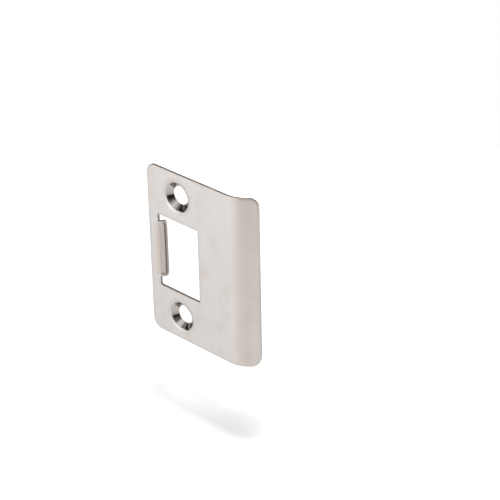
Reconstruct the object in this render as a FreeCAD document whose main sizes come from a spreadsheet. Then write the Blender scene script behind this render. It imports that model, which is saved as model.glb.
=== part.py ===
"""Full-lip door strike plate: one folded and pressed stainless sheet, as one PartDesign body.

Row frame in mm: +X towards the lip, +Y into the door jamb, +Z up.  The origin is midway between
the two screw holes, on the back (mounting) face, so the front face lies at Y = -gauge.
"""
import FreeCAD
import Part
import math
import os
import Sketcher

DOC = FreeCAD.newDocument("strike")
HORIZONTAL_AXIS = -1
VERTICAL_AXIS = -2
TOLERANCE = 1e-4

# Driving dimensions: alias, value in mm or degrees, meaning
SIZES = [
    ("gauge", 0.8, "thickness of the sheet"),
    ("plate_height", 57.15, "overall height"),
    ("face_left", 12.25, "screw line to the left edge"),
    ("bend_start", 20.47, "screw line to the start of the lip's bend"),
    ("lip_radius", 8.25, "bend of the lip, measured on the back face"),
    ("lip_angle", 51.0, "angle the lip turns through"),
    ("lip_straight", 2.3, "straight end of the lip past its bend"),
    ("corner_radius", 3.3, "the four outer corners"),
    ("opening_width", 16.6, "latch opening, across"),
    ("opening_height", 24.6, "latch opening, up"),
    ("opening_corner", 0.5, "corners of the latch opening"),
    ("tang_height", 19.3, "height of the bent tang"),
    ("tang_root", 0.7, "from the opening's side back to the start of the tang's bend"),
    ("tang_radius", 1.0, "bend of the tang, measured on the back face"),
    ("tang_angle", 82.0, "angle the tang turns through"),
    ("tang_straight", 1.0, "straight end of the tang past its bend"),
    ("tang_corner", 0.55, "the tang's two corners"),
    ("cut_depth", 3.0, "run of the cuts through the sheet, half to each side of its back face"),
    ("screw_spacing", 41.275, "between the two screw holes"),
    ("bore_radius", 2.95, "bore for the screw"),
    ("rim_radius", 5.0, "where the pressed shoulder leaves the flat face"),
    ("shoulder_radius", 0.3, "bend of the shoulder, measured on the back face"),
    ("seat_angle", 41.0, "half angle of the screw seat"),
    ("dimple_height", 1.3, "how far the dimple stands behind the back face"),
    ("edge_roll", 0.2, "rolled edge of the front face"),
]
SIZE = {alias: value for alias, value, _ in SIZES}


def fill_spreadsheet():
    """Writes the driving dimensions as aliased plain numbers, one row each."""
    sheet = DOC.addObject("Spreadsheet::Sheet", "sizes")
    for row, (alias, value, meaning) in enumerate(SIZES, start=1):
        sheet.set(f"A{row}", meaning)
        sheet.set(f"B{row}", str(value))
        sheet.setAlias(f"B{row}", alias)
    DOC.recompute()


def new_sketch(body, name, role):
    """An empty sketch on the body's own origin plane with the given role."""
    sketch = body.newObject("Sketcher::SketchObject", name)
    plane = next(item for item in body.Origin.OriginFeatures if item.Role == role)
    sketch.AttachmentSupport = (plane, [""])
    sketch.MapMode = "FlatFace"
    return sketch


def add_line(sketch, start, end):
    """Adds a line between two (x, y) points and returns its number."""
    return sketch.addGeometry(Part.LineSegment(FreeCAD.Vector(*start, 0), FreeCAD.Vector(*end, 0)))


def add_arc(sketch, centre, radius, first, last):
    """Adds an arc that runs counter-clockwise from first to last, in degrees, and returns its number."""
    circle = Part.Circle(FreeCAD.Vector(*centre, 0), FreeCAD.Vector(0, 0, 1), radius)
    return sketch.addGeometry(Part.ArcOfCircle(circle, math.radians(first), math.radians(last)))


def constrain(sketch, *rules):
    """Adds geometric constraints, each a tuple of its kind and its references."""
    for rule in rules:
        sketch.addConstraint(Sketcher.Constraint(*rule))


def dimension(sketch, expression, kind, *references):
    """Adds a dimension that follows an expression of the spreadsheet's sizes."""
    value = float(sketch.evalExpression(expression))
    if kind == "Angle":
        value = math.radians(value)
        expression = f"({expression}) * 1 deg"
    number = sketch.addConstraint(Sketcher.Constraint(kind, *references, value))
    sketch.setExpression(f"Constraints[{number}]", expression)


def draw_bent_strip(sketch, left, flat, radius, angle, straight):
    """Draws the section of a strip of sheet that runs flat, bends back and ends straight.

    Args:
        sketch: sketch on the XY plane, with the strip's back face on its horizontal axis.
        left: expression for the distance from the vertical axis to the strip's left end.
        flat: expression for the length of the flat run.
        radius: alias of the bend's radius on the back face.
        angle: alias of the angle the strip turns through.
        straight: alias of the length of the straight end.
    """
    gauge = SIZE["gauge"]
    start = -float(sketch.evalExpression(left))
    bend = start + float(sketch.evalExpression(flat))
    inner, turn, length = SIZE[radius], SIZE[angle], SIZE[straight]
    along = (math.cos(math.radians(turn)), math.sin(math.radians(turn)))
    centre = (bend, inner)

    def on_bend(reach, run):
        """Point at the bend's end, at a radius from its centre, moved on by run."""
        return (centre[0] + reach * along[1] + run * along[0], centre[1] - reach * along[0] + run * along[1])

    outer = inner + gauge
    front = add_line(sketch, (start, -gauge), (bend, -gauge))
    front_bend = add_arc(sketch, centre, outer, -90, turn - 90)
    front_end = add_line(sketch, on_bend(outer, 0), on_bend(outer, length))
    tip = add_line(sketch, on_bend(outer, length), on_bend(inner, length))
    back_end = add_line(sketch, on_bend(inner, length), on_bend(inner, 0))
    back_bend = add_arc(sketch, centre, inner, -90, turn - 90)
    back = add_line(sketch, (bend, 0), (start, 0))
    side = add_line(sketch, (start, 0), (start, -gauge))
    constrain(
        sketch,
        ("Tangent", front, 2, front_bend, 1),
        ("Tangent", front_bend, 2, front_end, 1),
        ("Coincident", front_end, 2, tip, 1),
        ("Coincident", tip, 2, back_end, 1),
        ("Tangent", back_end, 2, back_bend, 2),
        ("Tangent", back_bend, 1, back, 1),
        ("Coincident", back, 2, side, 1),
        ("Coincident", side, 2, front, 1),
        ("Coincident", front_bend, 3, back_bend, 3),
        ("Perpendicular", front_end, tip),
        ("Parallel", front_end, back_end),
        ("Horizontal", front),
        ("Horizontal", back),
        ("Vertical", side),
        ("PointOnObject", side, 1, HORIZONTAL_AXIS),
    )
    dimension(sketch, "sizes.gauge", "DistanceY", side, 2, side, 1)
    dimension(sketch, left, "DistanceX", side, 1, HORIZONTAL_AXIS, 1)
    dimension(sketch, flat, "DistanceX", back, 2, back, 1)
    dimension(sketch, f"sizes.{radius}", "Radius", back_bend)
    dimension(sketch, f"sizes.{angle}", "Angle", front_end)
    dimension(sketch, f"sizes.{straight}", "Distance", front_end)


def pad_symmetric(body, name, sketch, length):
    """Pads a sketch by a size, half to each side of its plane."""
    pad = body.newObject("PartDesign::Pad", name)
    pad.Profile = sketch
    pad.SideType = "Symmetric"
    pad.setExpression("Length", f"sizes.{length}")
    DOC.recompute()
    return pad


def round_edges(body, name, base, wanted, radius):
    """Rounds the base's edges that pass the test, by a size."""
    names = [f"Edge{i}" for i, edge in enumerate(base.Shape.Edges, start=1) if wanted(edge)]
    fillet = body.newObject("PartDesign::Fillet", name)
    fillet.Base = (base, names)
    fillet.setExpression("Radius", f"sizes.{radius}")
    DOC.recompute()
    return fillet


def crosses_sheet(edge):
    """True for a level edge that runs straight through the sheet's thickness."""
    level = all(abs(v.Z - edge.Vertexes[0].Z) < TOLERANCE for v in edge.Vertexes)
    return level and abs(edge.Length - SIZE["gauge"]) < TOLERANCE


def is_at(value, place):
    """True where a coordinate is at a place, to either side of the origin."""
    return abs(abs(value) - place) < TOLERANCE


def add_sheet(body):
    """Flat face and lip from one bent section, with the four outer corners rounded."""
    sketch = new_sketch(body, "sheet_section", "XY_Plane")
    flat = "sizes.face_left + sizes.bend_start"
    draw_bent_strip(sketch, "sizes.face_left", flat, "lip_radius", "lip_angle", "lip_straight")
    pad = pad_symmetric(body, "sheet", sketch, "plate_height")
    round_edges(body, "outer_corners", pad, crosses_sheet, "corner_radius")


def add_cutouts(body):
    """Cuts the latch opening, with the strip that the tang takes up, and the two screw seats."""
    sketch = new_sketch(body, "cutouts", "XZ_Plane")
    wide, high = SIZE["opening_width"] / 2, SIZE["opening_height"] / 2
    root, tang = wide + SIZE["tang_root"], SIZE["tang_height"] / 2
    corners = [
        (wide, -high), (wide, high), (-wide, high), (-wide, tang),
        (-root, tang), (-root, -tang), (-wide, -tang), (-wide, -high),
    ]
    sides = [add_line(sketch, a, b) for a, b in zip(corners, corners[1:] + corners[:1])]
    right, top, upper, upper_step, bend, lower_step, lower = sides[:-1]
    for side, following in zip(sides, sides[1:] + sides[:1]):
        constrain(sketch, ("Coincident", side, 2, following, 1))
    constrain(
        sketch,
        ("Symmetric", right, 1, right, 2, HORIZONTAL_AXIS),
        ("Symmetric", top, 1, top, 2, VERTICAL_AXIS),
        ("Symmetric", upper, 1, lower, 2, HORIZONTAL_AXIS),
        ("Symmetric", bend, 1, bend, 2, HORIZONTAL_AXIS),
        ("Vertical", upper),
        ("Vertical", lower),
        ("Horizontal", upper_step),
        ("Horizontal", lower_step),
    )
    dimension(sketch, "sizes.opening_width", "DistanceX", top, 2, top, 1)
    dimension(sketch, "sizes.opening_height", "DistanceY", right, 1, right, 2)
    dimension(sketch, "sizes.tang_height", "DistanceY", bend, 2, bend, 1)
    dimension(sketch, "sizes.tang_root", "DistanceX", upper_step, 2, upper_step, 1)
    place = SIZE["screw_spacing"] / 2
    for height in (place, -place):
        circle = Part.Circle(FreeCAD.Vector(0, height, 0), FreeCAD.Vector(0, 0, 1), SIZE["rim_radius"])
        seat = sketch.addGeometry(circle)
        constrain(sketch, ("PointOnObject", seat, 3, VERTICAL_AXIS))
        dimension(sketch, "sizes.rim_radius", "Radius", seat)
        ends = (HORIZONTAL_AXIS, 1, seat, 3) if height > 0 else (seat, 3, HORIZONTAL_AXIS, 1)
        dimension(sketch, "sizes.screw_spacing / 2", "DistanceY", *ends)
    pocket = body.newObject("PartDesign::Pocket", "openings")
    pocket.Profile = sketch
    pocket.SideType = "Symmetric"
    pocket.setExpression("Length", "sizes.cut_depth")
    DOC.recompute()

    def opening_corner(edge):
        """True for the four corners of the latch opening."""
        x, _, z = edge.CenterOfMass
        return crosses_sheet(edge) and is_at(x, wide) and is_at(z, high)

    return round_edges(body, "opening_corners", pocket, opening_corner, "opening_corner")


def roll_front_edges(body, base):
    """Rounds the front outline, which follows from its left edge, and the opening's, from its right one."""

    def starts_outline(edge):
        """True for the front edge of the left side and of the opening's right side."""
        x, y, _ = edge.CenterOfMass
        upright = abs(edge.tangentAt(edge.FirstParameter).z) > 1 - TOLERANCE
        at_side = abs(x + SIZE["face_left"]) < TOLERANCE or abs(x - SIZE["opening_width"] / 2) < TOLERANCE
        return upright and at_side and abs(y + SIZE["gauge"]) < TOLERANCE

    return round_edges(body, "rolled_edges", base, starts_outline, "edge_roll")


def add_tang(body):
    """The strip left of the opening that is bent back into it, with its end's corners rounded."""
    sketch = new_sketch(body, "tang_section", "XY_Plane")
    left = "sizes.opening_width / 2 + sizes.tang_root + sizes.gauge"
    draw_bent_strip(sketch, left, "sizes.gauge", "tang_radius", "tang_angle", "tang_straight")
    pad = pad_symmetric(body, "tang", sketch, "tang_height")

    def tang_corner(edge):
        """True for the two corners at the tang's free end."""
        _, y, z = edge.CenterOfMass
        return crosses_sheet(edge) and y > 0 and is_at(z, SIZE["tang_height"] / 2)

    round_edges(body, "tang_corners", pad, tang_corner, "tang_corner")


def add_dimples(body):
    """The pressed wall round the upper screw hole, turned about the screw's axis, and its mirror copy."""
    sketch = new_sketch(body, "dimple_section", "YZ_Plane")
    sketch.setExpression("AttachmentOffset.Base.y", "sizes.screw_spacing / 2")
    gauge, rim, inner = SIZE["gauge"], SIZE["rim_radius"], SIZE["shoulder_radius"]
    bore, depth, half = SIZE["bore_radius"], SIZE["dimple_height"], math.radians(SIZE["seat_angle"])
    turn = 270 - SIZE["seat_angle"]  # where the shoulder ends, as an angle about its centre
    centre = (inner, rim)
    outer = inner + gauge
    unit = (math.cos(math.radians(turn)), math.sin(math.radians(turn)))
    front_start = (centre[0] + outer * unit[0], centre[1] + outer * unit[1])
    back_start = (centre[0] + inner * unit[0], centre[1] + inner * unit[1])
    seat_end = (front_start[0] + (front_start[1] - bore) / math.tan(half), bore)
    back_end = (depth, back_start[1] - (depth - back_start[0]) * math.tan(half))
    joint = add_line(sketch, (0, rim), (-gauge, rim))
    front_bend = add_arc(sketch, centre, outer, 180, turn)
    seat = add_line(sketch, seat_end, front_start)
    hole = add_line(sketch, seat_end, (depth, bore))
    end = add_line(sketch, (depth, bore), back_end)
    cone = add_line(sketch, back_end, back_start)
    back_bend = add_arc(sketch, centre, inner, 180, turn)
    constrain(
        sketch,
        ("Coincident", joint, 2, front_bend, 1),
        ("Tangent", front_bend, 2, seat, 2),
        ("Coincident", seat, 1, hole, 1),
        ("Coincident", hole, 2, end, 1),
        ("Coincident", end, 2, cone, 1),
        ("Tangent", cone, 2, back_bend, 2),
        ("Coincident", back_bend, 1, joint, 1),
        ("Coincident", front_bend, 3, back_bend, 3),
        ("Horizontal", joint),
        ("Horizontal", hole),
        ("Vertical", end),
        ("Parallel", seat, cone),
        ("PointOnObject", back_bend, 3, joint),
    )
    dimension(sketch, "sizes.gauge", "DistanceX", joint, 2, joint, 1)
    dimension(sketch, "sizes.rim_radius", "DistanceY", HORIZONTAL_AXIS, 1, joint, 1)
    constrain(sketch, ("PointOnObject", joint, 1, VERTICAL_AXIS))
    dimension(sketch, "sizes.shoulder_radius", "Radius", back_bend)
    dimension(sketch, "180 - sizes.seat_angle", "Angle", seat)
    dimension(sketch, "sizes.bore_radius", "DistanceY", HORIZONTAL_AXIS, 1, hole, 1)
    dimension(sketch, "sizes.dimple_height", "DistanceX", HORIZONTAL_AXIS, 1, end, 1)
    wall = body.newObject("PartDesign::Revolution", "dimple")
    wall.Profile = sketch
    wall.ReferenceAxis = (sketch, ["H_Axis"])
    DOC.recompute()
    copy = body.newObject("PartDesign::Mirrored", "lower_dimple")
    copy.Originals = [wall]
    copy.MirrorPlane = (next(item for item in body.Origin.OriginFeatures if item.Role == "XY_Plane"), [""])
    body.Tip = copy


def main():
    """Builds the strike plate, checks every object and writes the STEP file."""
    fill_spreadsheet()
    body = DOC.addObject("PartDesign::Body", "strike_plate")
    body.Label = "strike_plate"
    add_sheet(body)
    roll_front_edges(body, add_cutouts(body))
    add_tang(body)
    add_dimples(body)
    DOC.recompute()
    for item in DOC.Objects:
        if "Invalid" in item.State or "Error" in item.State:
            raise RuntimeError(f"{item.Name}: {item.State}")
        if item.isDerivedFrom("Sketcher::SketchObject"):
            print(item.Name, "fully constrained:", item.FullyConstrained)
    if body.Shape.isNull() or not body.Shape.isValid():
        raise RuntimeError("strike_plate has no valid shape")
    os.makedirs("parts", exist_ok=True)
    body.Shape.exportStep("parts/strike_plate.step")
    print("solids", len(body.Shape.Solids), "volume", round(body.Shape.Volume, 1), body.Shape.BoundBox)


main()
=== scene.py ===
"""Full-lip door strike plate in satin stainless steel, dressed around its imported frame.

Row frame: +X towards the lip, +Y into the door jamb, +Z up, origin on the back face midway between
the two screw holes.  Sizes are in millimetres until a mesh is written, which is in metres.

The plate is one folded sheet, so its mesh is worked out on the flat pattern, the sheet before it is
bent: u runs across the plate and v up it, both along the front surface, and depth goes through the
sheet from its front to its back.  Two folds then carry u and depth to x and y.
"""

import logging
import math
from dataclasses import dataclass
from enum import Enum

import bpy
import numpy as np
from mathutils import Matrix, Vector
from mathutils.geometry import delaunay_2d_cdt


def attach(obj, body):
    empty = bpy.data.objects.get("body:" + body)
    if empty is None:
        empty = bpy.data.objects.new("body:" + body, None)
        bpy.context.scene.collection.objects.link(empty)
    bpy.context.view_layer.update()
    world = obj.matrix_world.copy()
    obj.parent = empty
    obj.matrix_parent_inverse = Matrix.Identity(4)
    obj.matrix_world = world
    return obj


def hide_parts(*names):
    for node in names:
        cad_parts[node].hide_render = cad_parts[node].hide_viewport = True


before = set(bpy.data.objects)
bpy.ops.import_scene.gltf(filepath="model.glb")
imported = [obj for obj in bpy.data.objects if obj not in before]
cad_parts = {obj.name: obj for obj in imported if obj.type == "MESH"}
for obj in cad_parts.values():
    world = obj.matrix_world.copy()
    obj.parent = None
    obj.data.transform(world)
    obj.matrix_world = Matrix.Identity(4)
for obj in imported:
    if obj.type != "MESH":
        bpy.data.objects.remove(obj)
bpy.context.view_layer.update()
MM = 0.001
GAUGE = 0.8  # thickness of the sheet
SPOKES = 128  # points round a screw seat

log = logging.getLogger("strike_plate")


class Surface(Enum):
    """The plate's two surfaces, each with the number of its material slot."""

    SATIN = 0
    SHEARED = 1


def linear(hex_colour: str) -> tuple[float, float, float, float]:
    """Turns an sRGB hex colour to a linear one.

    Args:
        hex_colour: six hex digits, with or without a leading hash.

    Returns:
        Linear red, green and blue, and an alpha of one.
    """
    digits = hex_colour.lstrip("#")
    channels = [int(digits[i:i + 2], 16) / 255 for i in (0, 2, 4)]
    red, green, blue = (c / 12.92 if c <= 0.04045 else ((c + 0.055) / 1.055) ** 2.4 for c in channels)
    return red, green, blue, 1.0


def ramp(value: np.ndarray, start: float, end: float) -> np.ndarray:
    """Eases from 0 at the start to 1 at the end: 3t^2 - 2t^3 of the share t of the way, held from 0 to 1."""
    share = np.clip((value - start) / (end - start), 0.0, 1.0)
    return share * share * (3 - 2 * share)


def full_circle() -> np.ndarray:
    """Unit (x, y) rows evenly round a circle."""
    turns = np.linspace(0.0, 2 * math.pi, SPOKES, endpoint=False)
    return np.stack([np.cos(turns), np.sin(turns)], axis=1)


@dataclass(frozen=True)
class Path:
    """A line in a plane, with the direction that points away from the metal at each of its points."""

    points: np.ndarray
    normals: np.ndarray


def straight_share(start: np.ndarray, end: np.ndarray, step: float) -> np.ndarray:
    """Shares of the way between two points, ends left out, so that no gap is longer than the step."""
    gap = np.linalg.norm(end - start)
    return np.linspace(0.0, 1.0, max(1, math.ceil(gap / step)) + 1)[1:-1, None]


def rounded_path(corners: np.ndarray, radii: np.ndarray, step: float, arc_step: float, closed: bool) -> Path:
    """Draws a path through corners, each rounded by its radius.

    A corner's arc starts and ends radius * tan(turn / 2) from it.  A point on the arc is its centre plus
    or minus radius times the normal, and the normal turns evenly from one side's to the next.  The metal
    is on the left of the path, so the normal is the direction of travel turned a quarter to the right.

    Args:
        corners: one (x, y) row for each corner, in order.
        radii: the radius at each corner; the ends of an open path have none.
        step: longest distance between points on a straight side.
        arc_step: longest distance between points on an arc.
        closed: whether the last corner joins the first.

    Returns:
        The path's points and normals.
    """
    sides = np.roll(corners, -1, axis=0) - corners
    headings = np.arctan2(sides[:, 1], sides[:, 0])
    points, normals = [], []
    count = len(corners)
    for i in range(count):
        is_end = not closed and i in (0, count - 1)
        before = headings[i] if not closed and i == 0 else headings[i - 1]
        after = before if is_end else headings[i]
        turn = (after - before + math.pi) % (2 * math.pi) - math.pi
        reach = 0.0 if is_end else radii[i] * math.tan(abs(turn) / 2)
        start = corners[i] - reach * np.array([math.cos(before), math.sin(before)])
        divisions = 1 if reach == 0 else max(2, math.ceil(radii[i] * abs(turn) / arc_step))
        angles = before - math.pi / 2 + np.linspace(0.0, turn, divisions + 1)
        outward = np.stack([np.cos(angles), np.sin(angles)], axis=1)
        if reach == 0:
            outward = outward[:1]
        arc = start + math.copysign(1.0, turn) * radii[i] * (outward - outward[0])
        if points:
            share = straight_share(points[-1][-1], arc[0], step)
            points.append(points[-1][-1] * (1 - share) + arc[0] * share)
            normals.append(np.repeat(outward[:1], len(share), axis=0))
        points.append(arc)
        normals.append(outward)
    if closed:
        share = straight_share(points[-1][-1], points[0][0], step)
        points.append(points[-1][-1] * (1 - share) + points[0][0] * share)
        normals.append(np.repeat(normals[0][:1], len(share), axis=0))
    return Path(np.concatenate(points), np.concatenate(normals))


def inside(points: np.ndarray, loop: np.ndarray) -> np.ndarray:
    """Tells which points are inside a closed loop: a line to the right crosses it an odd number of times.

    Args:
        points: one (x, y) row for each point.
        loop: the loop's points, in order.

    Returns:
        True for each point that is inside.
    """
    x, y = points[:, :1], points[:, 1:]
    x0, y0 = loop[:, 0], loop[:, 1]
    x1, y1 = np.roll(x0, -1), np.roll(y0, -1)
    spans = (y0 > y) != (y1 > y)
    rise = np.where(y1 == y0, 1.0, y1 - y0)
    crossing = x0 + (y - y0) * (x1 - x0) / rise
    return (spans & (crossing > x)).sum(axis=1) % 2 == 1


def grid_faces(rows: int, columns: int) -> np.ndarray:
    """Joins a grid of points that are numbered row by row into quads.

    Args:
        rows: how many rows there are.
        columns: how many points a row has, the last of which is joined to the first.

    Returns:
        Four point numbers for each quad.
    """
    row = np.arange(rows - 1)[:, None] * columns
    column = np.arange(columns)[None, :]
    after = (column + 1) % columns
    corners = [row + column, row + columns + column, row + columns + after, row + after]
    return np.stack(corners, axis=-1).reshape(-1, 4)


@dataclass(frozen=True)
class Fold:
    """A strip of sheet that runs flat, turns towards its back and ends straight.

    The strip's angle is a straight-line function of the distance along its front surface between the
    knots.  Its front surface is the running sum of the angle's cosine and sine, and a point below the
    front is moved by its depth at right angles to it.
    """

    knots: tuple[float, ...]
    angles: tuple[float, ...]
    sum_step: float = 0.005

    def place(self, run: np.ndarray, depth: np.ndarray) -> tuple[np.ndarray, np.ndarray]:
        """Finds where the fold carries points of the strip.

        Args:
            run: distance along the front surface, with the flat part's own x before the first knot.
            depth: distance below the front surface.

        Returns:
            x across the plate, and y back from the flat front surface.
        """
        span = self.knots[-1] - self.knots[0]
        table = self.knots[0] + np.linspace(0.0, span, int(span / self.sum_step) + 1)
        angle = np.radians(np.interp(table, self.knots, self.angles))
        middle = (angle[1:] + angle[:-1]) / 2
        moves = np.diff(table)
        x_table = table[0] + np.concatenate([[0.0], np.cumsum(np.cos(middle) * moves)])
        y_table = np.concatenate([[0.0], np.cumsum(np.sin(middle) * moves)])
        before = np.minimum(run - table[0], 0.0)
        beyond = np.maximum(run - table[-1], 0.0)
        here = np.radians(np.interp(run, self.knots, self.angles))
        x = np.interp(run, table, x_table) + before + beyond * np.cos(here) - depth * np.sin(here)
        y = np.interp(run, table, y_table) + beyond * np.sin(here) + depth * np.cos(here)
        return x, y


@dataclass(frozen=True)
class Skin:
    """Part of the surface: points and outward normals in mm, places on the flat pattern, faces, and wear with
    painted shade.
    """

    points: np.ndarray
    normals: np.ndarray
    flat: np.ndarray
    faces: np.ndarray
    surface: Surface
    burnish_and_shade: np.ndarray
    strain_and_shade: np.ndarray


@dataclass(frozen=True)
class Lip:
    """The plate's right side, bent back in one even arc that ends straight.

    The stretch is the strain where the bend has most of it; its darker, browner colour is partly stretched
    sheet and partly painted shade on the bend.  The ramps' ends are shares of the bend.
    """

    start: float = 20.47
    radius: float = 9.05
    angle: float = 51.0
    straight: float = 2.3
    stretch_and_shade: float = 0.23
    rise: tuple[float, float] = (0.0, 0.588)
    fall: tuple[float, float] = (0.65, 0.983)
    fall_share: float = 0.6

    @property
    def bend_end(self) -> float:
        """Where the bend ends on the flat pattern."""
        return self.start + self.radius * math.radians(self.angle)

    @property
    def edge(self) -> float:
        """Where the lip's edge is on the flat pattern."""
        return self.bend_end + self.straight

    @property
    def fold(self) -> Fold:
        """The sheet's fold at the lip."""
        return Fold((self.start, self.bend_end), (0.0, self.angle))

    def strain_and_shade(self, u: np.ndarray) -> np.ndarray:
        """Finds the stretch of the bend, partly real and partly painted shade, which rises along it and falls
        again before the straight end.
        """
        along = (u - self.start) / (self.bend_end - self.start)
        # painted shade: the strain darkens the bend where its reflection is darkest
        return self.stretch_and_shade * (ramp(along, *self.rise) - self.fall_share * ramp(along, *self.fall))


@dataclass(frozen=True)
class Tang:
    """The tongue at the latch opening's left side, bent back into the jamb.

    The flat sheet beside it holds its two ends to an even arc.  Between them the sheet gives way: it
    starts to turn before the root, slowly and then faster, and its last knot is where it has to be for
    the tip to come to the same place.  Wear, with painted shade at the root, rises over the held height
    from each end, and so does the die roll beside the tang.  The other ramps' ends are distances from
    the root.  The gap rounding is a share of the shear gap, less than half so that both its corners have
    room.
    """

    root: float = -9.0
    half_height: float = 9.65
    radius: float = 1.8
    angle: float = 82.0
    length: float = 3.5
    corner: float = 0.55
    shear_gap: float = 0.04
    gap_rounding: float = 0.49
    give_height: float = 1.8
    give_knots: tuple[float, ...] = (-10.2, -9.2, -6.1155)
    give_angle: float = 9.0
    held_height: float = 0.8
    rub_and_shade: float = 0.75
    rub_and_shade_rise: tuple[float, float] = (-0.3, 0.9)
    stretch_and_shade: float = 0.38
    stretch_and_shade_rise: tuple[float, float] = (-1.6, 0.0)
    stretch_and_shade_fall: tuple[float, float] = (0.0, 1.4)
    fall_share: float = 0.6

    @property
    def tip(self) -> float:
        """Where the tang's tip is on the flat pattern."""
        return self.root + self.length

    @property
    def end_fold(self) -> Fold:
        """The fold at the tang's two ends: one even arc."""
        return Fold((self.root, self.root + self.radius * math.radians(self.angle)), (0.0, self.angle))

    @property
    def middle_fold(self) -> Fold:
        """The fold away from the ends, where the sheet gives way."""
        return Fold(self.give_knots, (0.0, self.give_angle, self.angle))

    def covers(self, flat: np.ndarray) -> np.ndarray:
        """Tells which points of the flat pattern bend with the tang."""
        return (np.abs(flat[:, 1]) < self.half_height + self.shear_gap / 2) & (flat[:, 0] < 0)

    def place(self, flat: np.ndarray, depth: np.ndarray) -> tuple[np.ndarray, np.ndarray]:
        """Finds where the tang's bend carries points: the middle's fold eased to the ends' at both ends.

        Args:
            flat: (u, v) rows.
            depth: distance below the front surface.

        Returns:
            x across the plate, and y back from the flat front surface.
        """
        end_x, end_y = self.end_fold.place(flat[:, 0], depth)
        middle_x, middle_y = self.middle_fold.place(flat[:, 0], depth)
        share = ramp(np.abs(flat[:, 1]), self.half_height, self.half_height - self.give_height)
        return end_x + share * (middle_x - end_x), end_y + share * (middle_y - end_y)

    def wear_and_shade(self, flat: np.ndarray, front: np.ndarray) -> tuple[np.ndarray, np.ndarray]:
        """Tells how far bending rubbed and stretched the sheet at the tang.

        The tool rubs the front from just before the root.  The stretch rises before the root, is greatest
        at it and falls along the bend; both darken the colour there, partly as painted shade of the bend.

        Args:
            flat: (u, v) rows.
            front: 1 at the front surface and 0 at the back one.

        Returns:
            Burnish and strain, each partly painted shade.
        """
        ends = self.half_height, self.half_height - self.held_height
        here = np.where(flat[:, 0] < 0, ramp(np.abs(flat[:, 1]), *ends), 0.0)
        along = flat[:, 0] - self.root
        # burnish and strain here also paint the bend's shade at the root
        burnish_and_shade = self.rub_and_shade * ramp(along, *self.rub_and_shade_rise)
        strain_and_shade = ramp(along, *self.stretch_and_shade_rise) - self.fall_share * ramp(along, *self.stretch_and_shade_fall)
        return here * front * burnish_and_shade, here * self.stretch_and_shade * strain_and_shade


@dataclass(frozen=True)
class ScrewSeat:
    """A pressed seat for a countersunk screw, whose cone stands out behind the plate.

    A soft shoulder joins the cone to a shallow dish, and the dish runs out into the flat.  The shoulder
    leaves the flat back at the rim radius, and both its arcs are centred there.  The ramps' ends are
    radii.  The burnish on the cone and the stretch round the shoulder darken the colour, partly as painted
    shade.
    """

    bore_radius: float = 2.95
    bore_break: float = 0.04
    rim_radius: float = 5.4
    shoulder_radius: float = 0.6
    angle: float = 43.0
    height: float = 1.36
    dish_angle: float = 9.0
    dish_depth: float = 0.095
    dish_radius: float = 6.5
    collar_radius: float = 6.5
    rub_and_shade_rise: tuple[float, float] = (5.5, 4.3)
    stretch_and_shade: float = 0.16
    stretch_and_shade_rise: tuple[float, float] = (4.8, 5.3)
    stretch_and_shade_fall: tuple[float, float] = (5.6, 6.4)

    def section(self) -> Path:
        """Draws the seat's section as (radius, y), from the flat back round the bore to the flat front.

        The shoulder's front arc has its own radius plus the gauge.  It turns from the cone to the dish,
        and its corner lies that radius / cos(half the turn) from its centre.

        Returns:
            The section, as an open path.
        """
        cone, dish = math.radians(90 - self.angle), math.radians(self.dish_angle)
        fall = math.tan(cone)
        outer = self.shoulder_radius + GAUGE
        reach, middle = outer / math.cos((cone - dish) / 2), (cone + dish) / 2
        front_corner = self.rim_radius - reach * math.sin(middle)
        front_y = self.shoulder_radius + self.dish_depth - reach * math.cos(middle)
        dish_corner = front_corner + (front_y + GAUGE) / math.tan(dish)
        bore_top = front_y + (front_corner - self.bore_radius) * fall
        back_corner = self.rim_radius - self.shoulder_radius * math.tan(cone / 2)
        corners = np.array([
            (self.collar_radius, 0.0), (back_corner, 0.0), (back_corner - self.height / fall, self.height),
            (self.bore_radius, self.height), (self.bore_radius, bore_top),
            (front_corner, front_y), (dish_corner, -GAUGE), (self.collar_radius, -GAUGE),
        ])
        edges = [self.bore_break] * 3
        radii = np.array([0.0, self.shoulder_radius, *edges, outer, self.dish_radius, 0.0])
        return rounded_path(corners, radii, step=0.25, arc_step=0.09, closed=False)

    def skins(self, screw_height: float) -> list[Skin]:
        """Turns the section through a full circle about the screw's axis.

        A point is (radius cos a, y, height + radius sin a) at the angle a.  The punch rubs the cone, and
        the ring round the shoulder is stretched, both on the front alone; both masks also carry painted
        shade.

        Args:
            screw_height: how far up the plate the screw's axis is.

        Returns:
            The seat's surface and its bore's wall.
        """
        section, spoke = self.section(), full_circle()
        radius = section.points[:, :1]
        across, up = radius * spoke[:, 0], radius * spoke[:, 1]
        back = np.broadcast_to(section.points[:, 1:], across.shape)
        points = np.stack([across, back, screw_height + up], axis=-1).reshape(-1, 3)
        outward, backward = section.normals[:, :1], section.normals[:, 1:]
        ways = [outward * spoke[:, 0], np.broadcast_to(backward, across.shape), outward * spoke[:, 1]]
        normals = np.stack(ways, axis=-1).reshape(-1, 3)

        ring = np.repeat(radius[:, 0], SPOKES)
        on_front = np.repeat(backward[:, 0], SPOKES) < 0
        # burnish and strain darken the seat: partly rubbing and stretching, partly painted shade
        burnish_and_shade = np.where(on_front, ramp(ring, *self.rub_and_shade_rise), 0.0)
        rim = ramp(ring, *self.stretch_and_shade_rise) * (1 - ramp(ring, *self.stretch_and_shade_fall))
        strain_and_shade = np.where(on_front, self.stretch_and_shade * rim, 0.0)
        faces = grid_faces(len(radius), SPOKES)
        bore = ring[faces].mean(axis=1) < self.bore_radius + self.bore_break / 2
        flat = points[:, [0, 2]]
        return [
            Skin(points, normals, flat, faces[~bore], Surface.SATIN, burnish_and_shade, strain_and_shade),
            Skin(points, normals, flat, faces[bore], Surface.SHEARED, burnish_and_shade, strain_and_shade),
        ]


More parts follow.
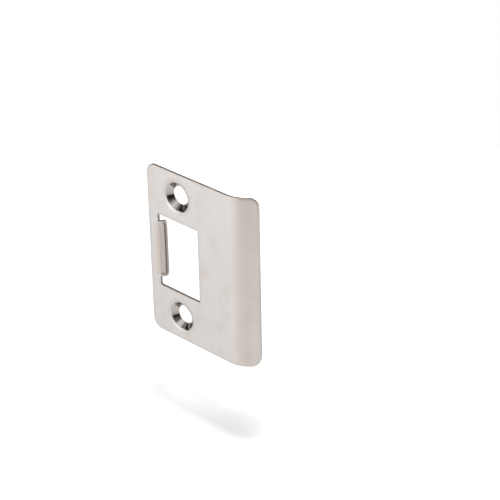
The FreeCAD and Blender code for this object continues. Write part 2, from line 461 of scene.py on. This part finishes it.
@dataclass(frozen=True)
class StrikePlate:
    """The whole plate: folded sheet, latch opening with its bent tang, and two pressed screw seats.

    The border is how far the edges' own strips of mesh reach into the faces.  The faces' points are a
    mesh step apart, and stay the mesh clearance, a share of that step, away from the strips.
    """

    left: float = -12.25
    half_height: float = 28.575
    outer_corner: float = 3.3
    opening_half_width: float = 8.3
    opening_half_height: float = 12.3
    opening_corner: float = 0.5
    screw_height: float = 20.6375
    lip: Lip = Lip()
    tang: Tang = Tang()
    seat: ScrewSeat = ScrewSeat()
    edge_roll: float = 0.15
    edge_break: float = 0.06
    edge_rub_and_shade: float = 0.75
    edge_stretch_and_shade: float = 0.3
    die_roll_width: float = 0.88
    die_roll_depth: float = 0.05
    border: float = 0.25
    mouth_margin: float = 0.01
    mesh_step: float = 0.5
    mesh_clearance: float = 0.55
    same_point: float = 1e-6
    weld_digits: int = 5

    def die_roll(self, flat: np.ndarray) -> np.ndarray:
        """Finds how far the blanking press drew the front surface down beside its cuts.

        Inside the roll's width the depth is the square of the share of the width that is left, so it
        starts without a crease.  The distance to a rounded rectangle is that of a point to a plain one
        less the corner's radius.  The tang has no roll along its root, where the sheet isn't cut.

        Args:
            flat: (u, v) rows.

        Returns:
            How far the front surface lies below the flat at each point.
        """
        middle = (self.left + self.lip.edge) / 2
        outer_half = (self.lip.edge - middle, self.half_height)
        opening_half = (self.opening_half_width, self.opening_half_height)
        shares = []
        for centre, half, radius, side in (
            (middle, outer_half, self.outer_corner, -1), (0.0, opening_half, self.opening_corner, 1),
        ):
            past = np.abs(flat - (centre, 0.0)) - half + radius
            distance = np.hypot(*np.maximum(past, 0.0).T) + np.minimum(past.max(axis=1), 0.0) - radius
            shares.append(np.clip(1 - side * distance / self.die_roll_width, 0.0, 1.0) ** 2)
        held = self.tang.half_height, self.tang.half_height + self.tang.held_height
        beside_tang = np.where(flat[:, 0] < 0, ramp(np.abs(flat[:, 1]), *held), 1.0)
        return self.die_roll_depth * (shares[0] + shares[1] * beside_tang)

    def place(self, flat: np.ndarray, depth: np.ndarray) -> np.ndarray:
        """Carries points of the flat pattern to the folded plate.

        The die roll lowers a point by its own depth at the front and by nothing at the back.

        Args:
            flat: (u, v) rows.
            depth: how far below the front surface each point is.

        Returns:
            (x, y, z) rows in the row frame, in mm.
        """
        depth = depth + self.die_roll(flat) * (1 - depth / GAUGE)
        lip_x, lip_y = self.lip.fold.place(flat[:, 0], depth)
        tang_x, tang_y = self.tang.place(flat, depth)
        on_tang = self.tang.covers(flat)
        x, y = np.where(on_tang, tang_x, lip_x), np.where(on_tang, tang_y, lip_y)
        return np.stack([x, y - GAUGE, flat[:, 1]], axis=1)

    def place_normals(self, flat: np.ndarray, depth: np.ndarray, ways: np.ndarray) -> np.ndarray:
        """Carries directions of the flat pattern to the folded plate.

        A surface's normal follows the inverse transpose of the fold's rate of change, which is taken
        from points a thousandth of a millimetre to each side.

        Args:
            flat: (u, v) rows.
            depth: how far below the front surface each point is.
            ways: (u, v, depth) rows that point away from the metal.

        Returns:
            Unit (x, y, z) rows in the row frame.
        """
        nudge = 1e-3
        columns = []
        for shift in np.eye(3) * nudge:
            ahead = self.place(flat + shift[:2], depth + shift[2])
            behind = self.place(flat - shift[:2], depth - shift[2])
            columns.append((ahead - behind) / (2 * nudge))
        rates = np.stack(columns, axis=2)
        found = np.einsum("nji,nj->ni", np.linalg.inv(rates), ways)
        return found / np.linalg.norm(found, axis=1, keepdims=True)

    def wear_and_shade(self, flat: np.ndarray, depth: np.ndarray) -> tuple[np.ndarray, np.ndarray]:
        """Tells how far forming rubbed and stretched each point of the sheet.

        Beside the cuts both follow the die roll's share of its depth, on the front alone, and darken the
        edges partly as painted shade.  The tang's and the lip's own wear, with its painted shade, is added to
        that.

        Args:
            flat: (u, v) rows.
            depth: how far below the front surface each point is.

        Returns:
            Burnish and strain, both from 0 to 1, each partly painted shade.
        """
        front = 1 - depth / GAUGE
        rolled = front * self.die_roll(flat) / self.die_roll_depth
        burnish_and_shade, strain_and_shade = self.tang.wear_and_shade(flat, front)
        # the die roll's share darkens the edges, partly as painted shade
        burnish_and_shade = burnish_and_shade + self.edge_rub_and_shade * rolled
        strain_and_shade = strain_and_shade + self.edge_stretch_and_shade * rolled + self.lip.strain_and_shade(flat[:, 0])
        return np.clip(burnish_and_shade, 0.0, 1.0), np.clip(strain_and_shade, 0.0, 1.0)

    def outlines(self) -> tuple[Path, Path]:
        """Draws the outer edge and the latch opening's edge, with the tang, on the flat pattern.

        At a shear gap's mouth the corner is rounded by the border and a small margin, so that the
        border's own loop keeps all its points.  The point halfway up the right side makes no corner and
        only evens the mesh.

        Returns:
            The outer edge and the opening's edge, both closed.
        """
        right, top = self.lip.edge, self.half_height
        outer = np.array([(self.left, -top), (right, -top), (right, top), (self.left, top)])
        edge = rounded_path(outer, np.full(4, self.outer_corner), step=0.5, arc_step=0.25, closed=True)

        wide, high = self.opening_half_width, self.opening_half_height
        root, tip = self.tang.root, self.tang.tip
        beside, end = self.tang.half_height, self.tang.half_height - self.tang.shear_gap
        opening = [
            (wide, high), (wide, 0.0), (wide, -high), (-wide, -high),
            (-wide, -beside), (root, -beside), (root, -end), (tip, -end),
            (tip, end), (root, end), (root, beside), (-wide, beside), (-wide, high),
        ]
        hole, mouth = self.opening_corner, self.border + self.mouth_margin
        notch = self.tang.shear_gap * self.tang.gap_rounding
        radii = [hole, 0.0, hole, hole, mouth, notch, notch, self.tang.corner]
        radii += [self.tang.corner, notch, notch, mouth, hole]
        return edge, rounded_path(np.array(opening), np.array(radii), step=0.4, arc_step=0.1, closed=True)

    def edge_profile(self) -> Path:
        """Draws a cut edge's section: the rolled front edge, the wall and the small break at the back.

        Returns:
            The section as (reach past the outline, depth), an open path.
        """
        corners = np.array([(-self.border, 0.0), (0.0, 0.0), (0.0, GAUGE), (-self.border, GAUGE)])
        radii = np.array([0.0, self.edge_roll, self.edge_break, 0.0])
        return rounded_path(corners, radii, step=0.15, arc_step=0.06, closed=False)

    def edge_skins(self, outline: Path) -> list[Skin]:
        """Carries the edge's section along an outline of the flat pattern.

        A point is the outline's point plus the section's reach times the outline's normal.  Its
        direction is made of the same normal and the depth in the section's own proportions.

        Args:
            outline: a closed path on the flat pattern.

        Returns:
            The edge's roundings and its wall.
        """
        profile = self.edge_profile()
        reach, depth = profile.points[:, 0], profile.points[:, 1]
        flat = (outline.points[None] + reach[:, None, None] * outline.normals[None]).reshape(-1, 2)
        side = profile.normals[:, 0, None, None] * outline.normals[None]
        through = np.broadcast_to(profile.normals[:, 1, None, None], side.shape[:2] + (1,))
        ways = np.concatenate([side, through], axis=2).reshape(-1, 3)
        depths = np.repeat(depth, len(outline.points))
        faces = grid_faces(len(reach), len(outline.points))
        wall = depths[faces].mean(axis=1) > self.edge_roll
        points, normals = self.place(flat, depths), self.place_normals(flat, depths, ways)
        wear_and_shade = self.wear_and_shade(flat, depths)
        return [
            Skin(points, normals, flat, faces[~wall], Surface.SATIN, *wear_and_shade),
            Skin(points, normals, flat, faces[wall], Surface.SHEARED, *wear_and_shade),
        ]

    def face_skins(self, edge: Path, opening: Path) -> list[Skin]:
        """Fills the front and the back between the edges and the screw seats.

        Points of an even grid on the flat pattern are joined to the borders as one Delaunay net, which
        is placed once at the front and once at the back.

        Args:
            edge: the outer edge on the flat pattern.
            opening: the latch opening's edge on it.

        Returns:
            The front and the back.
        """
        circle = self.seat.collar_radius * full_circle()
        loops = [path.points - self.border * path.normals for path in (edge, opening)]
        loops += [circle + (0.0, self.screw_height), circle - (0.0, self.screw_height)]
        borders = np.concatenate(loops)

        across = np.arange(self.left, self.lip.edge, self.mesh_step)
        up = np.arange(-self.half_height, self.half_height, self.mesh_step)
        grid = np.stack(np.meshgrid(across, up), axis=-1).reshape(-1, 2)
        gaps = np.min([np.min(np.hypot(*(grid[:, None] - loop[None]).T), axis=0) for loop in loops], axis=0)
        crossings = np.sum([inside(grid, loop) for loop in loops], axis=0)
        grid = grid[(crossings == 1) & (gaps > self.mesh_clearance * self.mesh_step)]

        starts = np.cumsum([0] + [len(loop) for loop in loops])
        rings = [np.arange(a, b) for a, b in zip(starts[:-1], starts[1:])]
        edges = np.concatenate([np.stack([ring, np.roll(ring, -1)], axis=1) for ring in rings])
        flat = np.concatenate([borders, grid])
        found = delaunay_2d_cdt(flat.tolist(), edges.tolist(), [], 0, self.same_point)
        if len(found[0]) != len(flat):
            raise RuntimeError("the flat pattern's net lost or gained points")
        net = np.array(found[2])
        middles = flat[net].mean(axis=1)
        net = net[np.sum([inside(middles, loop) for loop in loops], axis=0) == 1]

        skins = []
        for depth, way, faces in ((0.0, -1.0, net), (GAUGE, 1.0, net[:, ::-1])):
            depths = np.full(len(flat), depth)
            ways = np.tile((0.0, 0.0, way), (len(flat), 1))
            points, normals = self.place(flat, depths), self.place_normals(flat, depths, ways)
            skins.append(Skin(points, normals, flat, faces, Surface.SATIN, *self.wear_and_shade(flat, depths)))
        return skins

    def weld(self, skins: list[Skin]) -> tuple[np.ndarray, list[list[int]]]:
        """Joins the skins wherever their points are at the same place.

        Args:
            skins: the parts of the plate's surface.

        Returns:
            Which of all the skins' points are kept, and the faces in the kept points' numbers.
        """
        places = np.round(np.concatenate([skin.points for skin in skins]), self.weld_digits)
        _, first, number = np.unique(places, axis=0, return_index=True, return_inverse=True)
        offsets = np.cumsum([0] + [len(skin.points) for skin in skins])
        parts = [number.ravel()[skin.faces + offset] for skin, offset in zip(skins, offsets)]
        used = np.unique(np.concatenate([part.ravel() for part in parts]))
        faces = []
        for part in parts:
            faces += np.searchsorted(used, part).tolist()
        return first[used], faces

    def build(self) -> bpy.types.Object:
        """Makes the plate's one closed mesh from its skins.

        The mesh keeps the skins' exact normals, the flat pattern as its UV map, and the wear with its
        painted shade as two attributes.

        Returns:
            The plate, linked to the scene and not yet dressed.
        """
        edge, opening = self.outlines()
        skins = self.face_skins(edge, opening) + self.edge_skins(edge) + self.edge_skins(opening)
        for height in (self.screw_height, -self.screw_height):
            skins += self.seat.skins(height)
        kept, faces = self.weld(skins)
        names = ("points", "normals", "flat", "burnish_and_shade", "strain_and_shade")
        points, normals, flat, burnish_and_shade, strain_and_shade = (
            np.concatenate([getattr(skin, name) for skin in skins])[kept] for name in names
        )

        mesh = bpy.data.meshes.new("strike_plate_sheet")
        mesh.from_pydata((points * MM).tolist(), [], faces)
        slots = np.repeat([skin.surface.value for skin in skins], [len(skin.faces) for skin in skins])
        mesh.polygons.foreach_set("material_index", slots.astype(np.int32))
        mesh.shade_smooth()
        corner = np.empty(len(mesh.loops), np.int32)
        mesh.loops.foreach_get("vertex_index", corner)
        pattern = mesh.uv_layers.new(name="flat_pattern")
        pattern.data.foreach_set("uv", (flat * MM)[corner].astype(np.float32).ravel())
        for name, values in (("burnish_and_shade", burnish_and_shade), ("strain_and_shade", strain_and_shade)):
            attribute = mesh.attributes.new(name, "FLOAT", "POINT")
            attribute.data.foreach_set("value", values.astype(np.float32))
        mesh.normals_split_custom_set_from_vertices(normals.tolist())
        plate = bpy.data.objects.new("strike_plate_sheet", mesh)
        bpy.context.scene.collection.objects.link(plate)
        return plate

    def dress(self, plate: bpy.types.Object) -> None:
        """Gives the plate its two finishes, in the order of Surface."""
        for finish in (SatinStainless(), ShearedStainless()):
            plate.data.materials.append(finish.make())


def add_node(
    tree: bpy.types.NodeTree, kind: str, inputs: dict[str, object] | None = None, **settings: object
) -> bpy.types.Node:
    """Adds a node with its settings and inputs.

    Args:
        tree: the node tree it goes into.
        kind: the node's type name.
        inputs: input name or number to a value, or to the output socket that is linked to it.
        settings: the node's own properties.

    Returns:
        The new node.
    """
    node = tree.nodes.new(kind)
    for name, value in settings.items():
        setattr(node, name, value)
    for name, value in (inputs or {}).items():
        if isinstance(value, bpy.types.NodeSocket):
            tree.links.new(value, node.inputs[name])
        else:
            node.inputs[name].default_value = value
    return node


def blank_material(name: str) -> tuple[bpy.types.Material, bpy.types.NodeTree]:
    """Makes a material that has no nodes yet.

    Args:
        name: the material's name.

    Returns:
        The material and its empty node tree.
    """
    material = bpy.data.materials.new(name)
    material.use_nodes = True
    material.node_tree.nodes.clear()
    return material, material.node_tree


@dataclass(frozen=True)
class SatinStainless:
    """Stainless sheet (18-8), belt-brushed up its length before it is cut.

    The brush lines spread reflections across the plate.  The real ones are about 0.05 mm apart, too fine
    to see here, so they are drawn 0.2 mm apart, with broader bands that the belt leaves.  The pressing
    tool burnishes the screw seats, the rolled edges and the tang's front: they mirror the room more
    sharply, and their darker colour is partly burnish and partly painted shade.  Where forming stretches
    the sheet its lines open up, which makes it duller and browner; that darker colour also paints shade on
    the lip's bend, the tang's root, the seats' shoulders and the edges.  Handling leaves faint smears, and
    at a grazing angle the oxide film keeps the reflection slightly warm.
    """

    colour: str = "#CBC7C4"
    # the stretched and burnished colours are partly the sheet's own and partly painted shade
    stretched_and_shaded_colour: str = "#AF9986"
    burnished_and_shaded_colour: str = "#ABA6A2"
    smear_colour: str = "#C3B9B2"
    grazing_tint: str = "#D0CBC7"
    roughness: float = 0.4
    roughness_spread: float = 0.05
    stretched_roughening: float = 0.06
    burnished_roughness: float = 0.13
    anisotropy: float = 0.45
    line_pitch: float = 0.2
    line_length: float = 16.0
    line_height: float = 0.0012
    burnished_height: float = 0.1
    band_width: float = 1.4
    band_length: float = 45.0
    band_range: tuple[float, float] = (0.3, 0.7)
    band_spread: float = 0.015
    smear_size: float = 7.0
    smear_range: tuple[float, float] = (0.48, 0.75)
    smear_strength: float = 0.5

    def make(self) -> bpy.types.Material:
        """Builds the material.

        Its colour takes the smears, the bands, the burnish and the stretch in turn, the last two partly as
        painted shade, and its roughness the lines, the stretch and the burnish.

        Returns:
            The material.
        """
        material, tree = blank_material("satin_stainless")
        pattern = add_node(tree, "ShaderNodeUVMap", uv_map="flat_pattern")
        noises = []
        for across, along, detail in (
            (self.line_pitch, self.line_length, 3.0), (self.band_width, self.band_length, 2.0),
            (self.smear_size, self.smear_size, 3.0),
        ):
            scale = (1 / (across * MM), 1 / (along * MM), 1.0)
            spread = add_node(tree, "ShaderNodeMapping", {"Vector": pattern.outputs["UV"], "Scale": scale})
            inputs = {"Vector": spread.outputs[0], "Scale": 1.0, "Detail": detail}
            noises.append(add_node(tree, "ShaderNodeTexNoise", inputs).outputs["Fac"])
        lines, bands, smears = noises
        burnish_and_shade = add_node(tree, "ShaderNodeAttribute", attribute_name="burnish_and_shade").outputs["Fac"]
        strain_and_shade = add_node(tree, "ShaderNodeAttribute", attribute_name="strain_and_shade").outputs["Fac"]

        (smear_low, smear_high), (band_low, band_high) = self.smear_range, self.band_range
        smeared = add_node(
            tree, "ShaderNodeMapRange",
            {"Value": smears, "From Min": smear_low, "From Max": smear_high, "To Max": self.smear_strength},
        )
        shade = add_node(
            tree, "ShaderNodeMapRange",
            {
                "Value": bands, "From Min": band_low, "From Max": band_high,
                "To Min": 1 - self.band_spread, "To Max": 1 + self.band_spread,
            },
        )
        handled = add_node(
            tree, "ShaderNodeMix",
            {"Factor": smeared.outputs[0], "A": linear(self.colour), "B": linear(self.smear_colour)},
            data_type="RGBA",
        )
        banded = add_node(
            tree, "ShaderNodeVectorMath", {0: handled.outputs["Result"], "Scale": shade.outputs[0]},
            operation="SCALE",
        )
        # painted shade: the burnish mask mixes in the darker burnished colour
        rubbed_and_shaded = add_node(
            tree, "ShaderNodeMix",
            {"Factor": burnish_and_shade, "A": banded.outputs[0], "B": linear(self.burnished_and_shaded_colour)},
            data_type="RGBA",
        )
        # painted shade: the stretched colour darkens and browns the strained places
        colour = add_node(
            tree, "ShaderNodeMix",
            {"Factor": strain_and_shade, "A": rubbed_and_shaded.outputs["Result"], "B": linear(self.stretched_and_shaded_colour)},
            data_type="RGBA",
        )

        grain = add_node(
            tree, "ShaderNodeMapRange",
            {
                "Value": lines, "To Min": self.roughness - self.roughness_spread,
                "To Max": self.roughness + self.roughness_spread,
            },
        )
        stretched = add_node(
            tree, "ShaderNodeMath", {0: strain_and_shade, 1: self.stretched_roughening, 2: grain.outputs[0]},
            operation="MULTIPLY_ADD",
        )
        roughness = add_node(
            tree, "ShaderNodeMix",
            {"Factor": burnish_and_shade, "A": stretched.outputs[0], "B": self.burnished_roughness},
        )
        height = add_node(
            tree, "ShaderNodeMapRange", {"Value": burnish_and_shade, "To Min": 1.0, "To Max": self.burnished_height}
        )
        bump = add_node(
            tree, "ShaderNodeBump",
            {"Strength": height.outputs[0], "Distance": self.line_height * MM, "Height": lines},
        )
        tangent = add_node(tree, "ShaderNodeTangent", direction_type="UV_MAP", uv_map="flat_pattern")
        shader = add_node(
            tree, "ShaderNodeBsdfPrincipled",
            {
                "Base Color": colour.outputs["Result"],
                "Metallic": 1.0,
                "Specular Tint": linear(self.grazing_tint),
                "Roughness": roughness.outputs[0],
                "Anisotropic": self.anisotropy,
                "Tangent": tangent.outputs[0],
                "Normal": bump.outputs[0],
            },
        )
        add_node(tree, "ShaderNodeOutputMaterial", {"Surface": shader.outputs[0]})
        return material


@dataclass(frozen=True)
class ShearedStainless:
    """The wall that the blanking punch leaves: dull and darker, torn in fine lines through the sheet."""

    colour: str = "#8B8681"
    roughness: float = 0.45
    roughness_spread: float = 0.1
    tear_pitch: float = 0.15
    tear_length: float = 1.0
    tear_height: float = 0.01
    tear_strength: float = 0.6

    def make(self) -> bpy.types.Material:
        """Builds the material, whose tears run through the sheet, along the row frame's y.

        Returns:
            The material.
        """
        material, tree = blank_material("sheared_stainless")
        place = add_node(tree, "ShaderNodeTexCoord")
        scale = tuple(1 / (size * MM) for size in (self.tear_pitch, self.tear_length, self.tear_pitch))
        stretched = add_node(tree, "ShaderNodeMapping", {"Vector": place.outputs["Object"], "Scale": scale})
        inputs = {"Vector": stretched.outputs[0], "Scale": 1.0, "Detail": 2.0}
        tears = add_node(tree, "ShaderNodeTexNoise", inputs).outputs["Fac"]
        roughness = add_node(
            tree, "ShaderNodeMapRange",
            {
                "Value": tears, "To Min": self.roughness - self.roughness_spread,
                "To Max": self.roughness + self.roughness_spread,
            },
        )
        bump = add_node(
            tree, "ShaderNodeBump",
            {"Strength": self.tear_strength, "Distance": self.tear_height * MM, "Height": tears},
        )
        shader = add_node(
            tree, "ShaderNodeBsdfPrincipled",
            {
                "Base Color": linear(self.colour),
                "Metallic": 1.0,
                "Roughness": roughness.outputs[0],
                "Normal": bump.outputs[0],
            },
        )
        add_node(tree, "ShaderNodeOutputMaterial", {"Surface": shader.outputs[0]})
        return material


@dataclass(frozen=True)
class Panel:
    """A soft rectangular lamp that faces a point.  Places and sizes are in metres."""

    name: str
    place: tuple[float, float, float]
    aim: tuple[float, float, float]
    size: tuple[float, float]
    radiance: float
    colour: str = "#FFFFFF"

    def build(self) -> None:
        """Makes the lamp, whose power is its radiance times pi times its area."""
        data = bpy.data.lights.new(self.name, "AREA")
        data.shape = "RECTANGLE"
        data.size, data.size_y = self.size
        data.color = linear(self.colour)[:3]
        data.energy = self.radiance * math.pi * self.size[0] * self.size[1]
        lamp = bpy.data.objects.new(self.name, data)
        lamp.location = self.place
        way = Vector(self.aim) - Vector(self.place)
        lamp.rotation_euler = way.to_track_quat("-Z", "Y").to_euler()
        lamp.visible_camera = False
        bpy.context.scene.collection.objects.link(lamp)


@dataclass(frozen=True)
class SoftWall:
    """A white wall that curves round the plate's front left: upright panels in columns, lit unevenly.

    Radiances are given column by column, from the camera's side to the left, each from the table up.
    Turns are in degrees and the other sizes in metres.
    """

    radius: float = 0.36
    first_turn: float = -64.5
    turn_step: float = -24.5
    heights: tuple[float, ...] = (-0.057, 0.08, 0.225, 0.46)
    radiances: tuple[tuple[float, ...], ...] = (
        (0.2, 0.24, 0.8), (1.4, 1.62, 1.5), (2.58, 1.42, 1.2), (1.3, 1.5, 0.3),
    )

    def panels(self) -> list[Panel]:
        """Sets each panel upright on the circle, facing its middle.

        Returns:
            The wall's panels.
        """
        width = 2 * self.radius * math.tan(math.radians(abs(self.turn_step)) / 2)
        found = []
        for column, rows in enumerate(self.radiances):
            turn = math.radians(self.first_turn + column * self.turn_step)
            x, y = self.radius * math.cos(turn), self.radius * math.sin(turn)
            for row, (low, high, radiance) in enumerate(zip(self.heights, self.heights[1:], rows)):
                middle = (low + high) / 2
                name = f"soft_wall_{column}_{row}"
                found.append(Panel(name, (x, y, middle), (0.0, 0.0, middle), (width, high - low), radiance))
        return found


def flat_piece(
    name: str, corners: list[tuple[float, float, float]], material: bpy.types.Material
) -> bpy.types.Object:
    """Makes a piece of the studio with one four-sided face.

    Args:
        name: the object's and the mesh's name.
        corners: its four corners in metres, anticlockwise as its front shows them.
        material: its finish.

    Returns:
        The new object, linked to the scene.
    """
    mesh = bpy.data.meshes.new(name)
    mesh.from_pydata(corners, [], [(0, 1, 2, 3)])
    mesh.materials.append(material)
    piece = bpy.data.objects.new(name, mesh)
    bpy.context.scene.collection.objects.link(piece)
    return piece


@dataclass(frozen=True)
class Studio:
    """White table top, lamps above it, a soft wall in front on the left and a dark room round them.

    The table top glows faintly for the camera alone.  The glow rises from the near lift at the near
    distance to the far lift at the far one, so that the table runs out into the white behind it.  Only
    the metal sees the small dark card.  Sizes are in metres.
    """

    floor_height: float = -0.0592
    floor_low: tuple[float, float] = (-0.7, -0.6)
    floor_high: tuple[float, float] = (0.28, 0.22)
    floor_colour: str = "#F0F2F4"
    floor_roughness: float = 0.25
    room_colour: str = "#2A2622"
    warm_colour: str = "#FFECDA"
    near_lift: float = 0.07
    near_distance: float = 0.08
    far_lift: float = 0.55
    far_distance: float = 0.2
    card_middle: tuple[float, float, float] = (0.0617, 0.0154, -0.039)
    card_turn: float = -79.0
    card_size: tuple[float, float] = (0.021, 0.038)
    card_colour: str = "#6C6C6E"
    card_roughness: float = 0.9

    def panels(self) -> list[Panel]:
        """The lamps of the studio."""
        return SoftWall().panels() + [
            Panel("key", (0.2, -0.088, 0.94), (0.008, 0.0, -0.059), (0.186, 0.098), 63.0),
            Panel("soft_box_left", (-0.12, -0.02, 0.42), (-0.12, -0.02, 0.0), (0.36, 0.32), 4.0),
            Panel("soft_box_right", (0.3, -0.02, 0.5), (0.3, -0.02, 0.0), (0.35, 0.4), 1.8),
            Panel("soft_panel_right", (0.75, -0.1, 0.3), (0.0, 0.0, 0.3), (0.6, 0.7), 2.15, self.warm_colour),
            Panel("fill_behind", (0.1, 0.9, 0.5), (0.0, 0.0, 0.0), (0.9, 0.6), 0.2),
        ]

    def build_floor(self) -> None:
        """Makes the table top of satin white acrylic: a soft, weak mirror over an even white."""
        material, tree = blank_material("satin_white_acrylic")
        ray = add_node(tree, "ShaderNodeLightPath")
        place = add_node(tree, "ShaderNodeTexCoord")
        distance = add_node(tree, "ShaderNodeVectorMath", {0: place.outputs["Object"]}, operation="LENGTH")
        lift = add_node(
            tree, "ShaderNodeMapRange",
            {
                "Value": distance.outputs["Value"],
                "From Min": self.near_distance, "From Max": self.far_distance,
                "To Min": self.near_lift, "To Max": self.far_lift,
            },
        )
        glow = add_node(
            tree, "ShaderNodeMath", {0: ray.outputs["Is Camera Ray"], 1: lift.outputs[0]},
            operation="MULTIPLY",
        )
        shader = add_node(
            tree, "ShaderNodeBsdfPrincipled",
            {
                "Base Color": linear(self.floor_colour), "Roughness": self.floor_roughness,
                "Emission Color": (1.0, 1.0, 1.0, 1.0), "Emission Strength": glow.outputs[0],
            },
        )
        add_node(tree, "ShaderNodeOutputMaterial", {"Surface": shader.outputs[0]})
        (left, front), (right, back), low = self.floor_low, self.floor_high, self.floor_height
        corners = [(left, front, low), (right, front, low), (right, back, low), (left, back, low)]
        floor = flat_piece("table_top", corners, material)

    def build_card(self) -> None:
        """Stands the dark card behind on the right, which the metal shows as a line down the tang."""
        material, tree = blank_material("dark_card")
        shader = add_node(
            tree, "ShaderNodeBsdfPrincipled",
            {"Base Color": linear(self.card_colour), "Roughness": self.card_roughness},
        )
        add_node(tree, "ShaderNodeOutputMaterial", {"Surface": shader.outputs[0]})
        across, up = self.card_size[0] / 2, self.card_size[1] / 2
        corners = [(-across, 0, -up), (across, 0, -up), (across, 0, up), (-across, 0, up)]
        card = flat_piece("dark_card", corners, material)
        card.location = self.card_middle
        card.rotation_euler = (0.0, 0.0, math.radians(self.card_turn))
        card.visible_camera = card.visible_shadow = card.visible_diffuse = False

    def build_room(self) -> None:
        """Sets the surroundings: white behind the table for the camera, dark for reflections."""
        world = bpy.data.worlds.new("studio")
        world.use_nodes = True
        tree = world.node_tree
        tree.nodes.clear()
        ray = add_node(tree, "ShaderNodeLightPath")
        dark = add_node(tree, "ShaderNodeBackground", {"Color": linear(self.room_colour)})
        white = add_node(tree, "ShaderNodeBackground", {"Color": (1.0, 1.0, 1.0, 1.0)})
        mix = add_node(
            tree, "ShaderNodeMixShader",
            {0: ray.outputs["Is Camera Ray"], 1: dark.outputs[0], 2: white.outputs[0]},
        )
        add_node(tree, "ShaderNodeOutputWorld", {"Surface": mix.outputs[0]})
        bpy.context.scene.world = world

    def build(self) -> None:
        """Makes the table, the card, the lamps and the room, and keeps colours as they are."""
        self.build_floor()
        self.build_card()
        for panel in self.panels():
            panel.build()
        self.build_room()
        view = bpy.context.scene.view_settings
        view.view_transform = "Standard"
        view.look = "None"


@dataclass(frozen=True)
class Viewpoint:
    """The camera of the photograph, solved from the plate's own edges.

    Its place is in millimetres, and its rows are the picture's right and up directions in the row frame.
    """

    place: tuple[float, float, float] = (344.05, -330.1, 273.3)
    right: tuple[float, float, float] = (0.7302, 0.6830, -0.0178)
    up: tuple[float, float, float] = (-0.3268, 0.3720, 0.8688)
    focal_length: float = 131.37
    sensor_width: float = 36.0
    clip: tuple[float, float] = (0.01, 10.0)

    def build(self) -> None:
        """Makes the camera and sets it as the scene's."""
        right = Vector(self.right).normalized()
        back = right.cross(Vector(self.up)).normalized()
        turn = Matrix([right, back.cross(right), back]).transposed()
        data = bpy.data.cameras.new("camera")
        data.lens = self.focal_length
        data.sensor_width = self.sensor_width
        data.clip_start, data.clip_end = self.clip
        camera = bpy.data.objects.new("camera", data)
        camera.matrix_world = Matrix.Translation(Vector(self.place) * MM) @ turn.to_4x4()
        bpy.context.scene.collection.objects.link(camera)
        bpy.context.scene.camera = camera


def main() -> None:
    """Builds the camera, the plate and its studio, and reports each piece."""
    logging.basicConfig(level=logging.INFO, format="%(name)s: %(message)s")
    Viewpoint().build()
    sheet = StrikePlate()
    plate = sheet.build()
    sheet.dress(plate)
    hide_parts("strike_plate")
    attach(plate, "root")
    log.info("plate: %d points, %d faces", len(plate.data.vertices), len(plate.data.polygons))
    studio = Studio()
    studio.build()
    log.info("studio: %d lamps", len(studio.panels()))


if __name__ == "__main__":
    main()
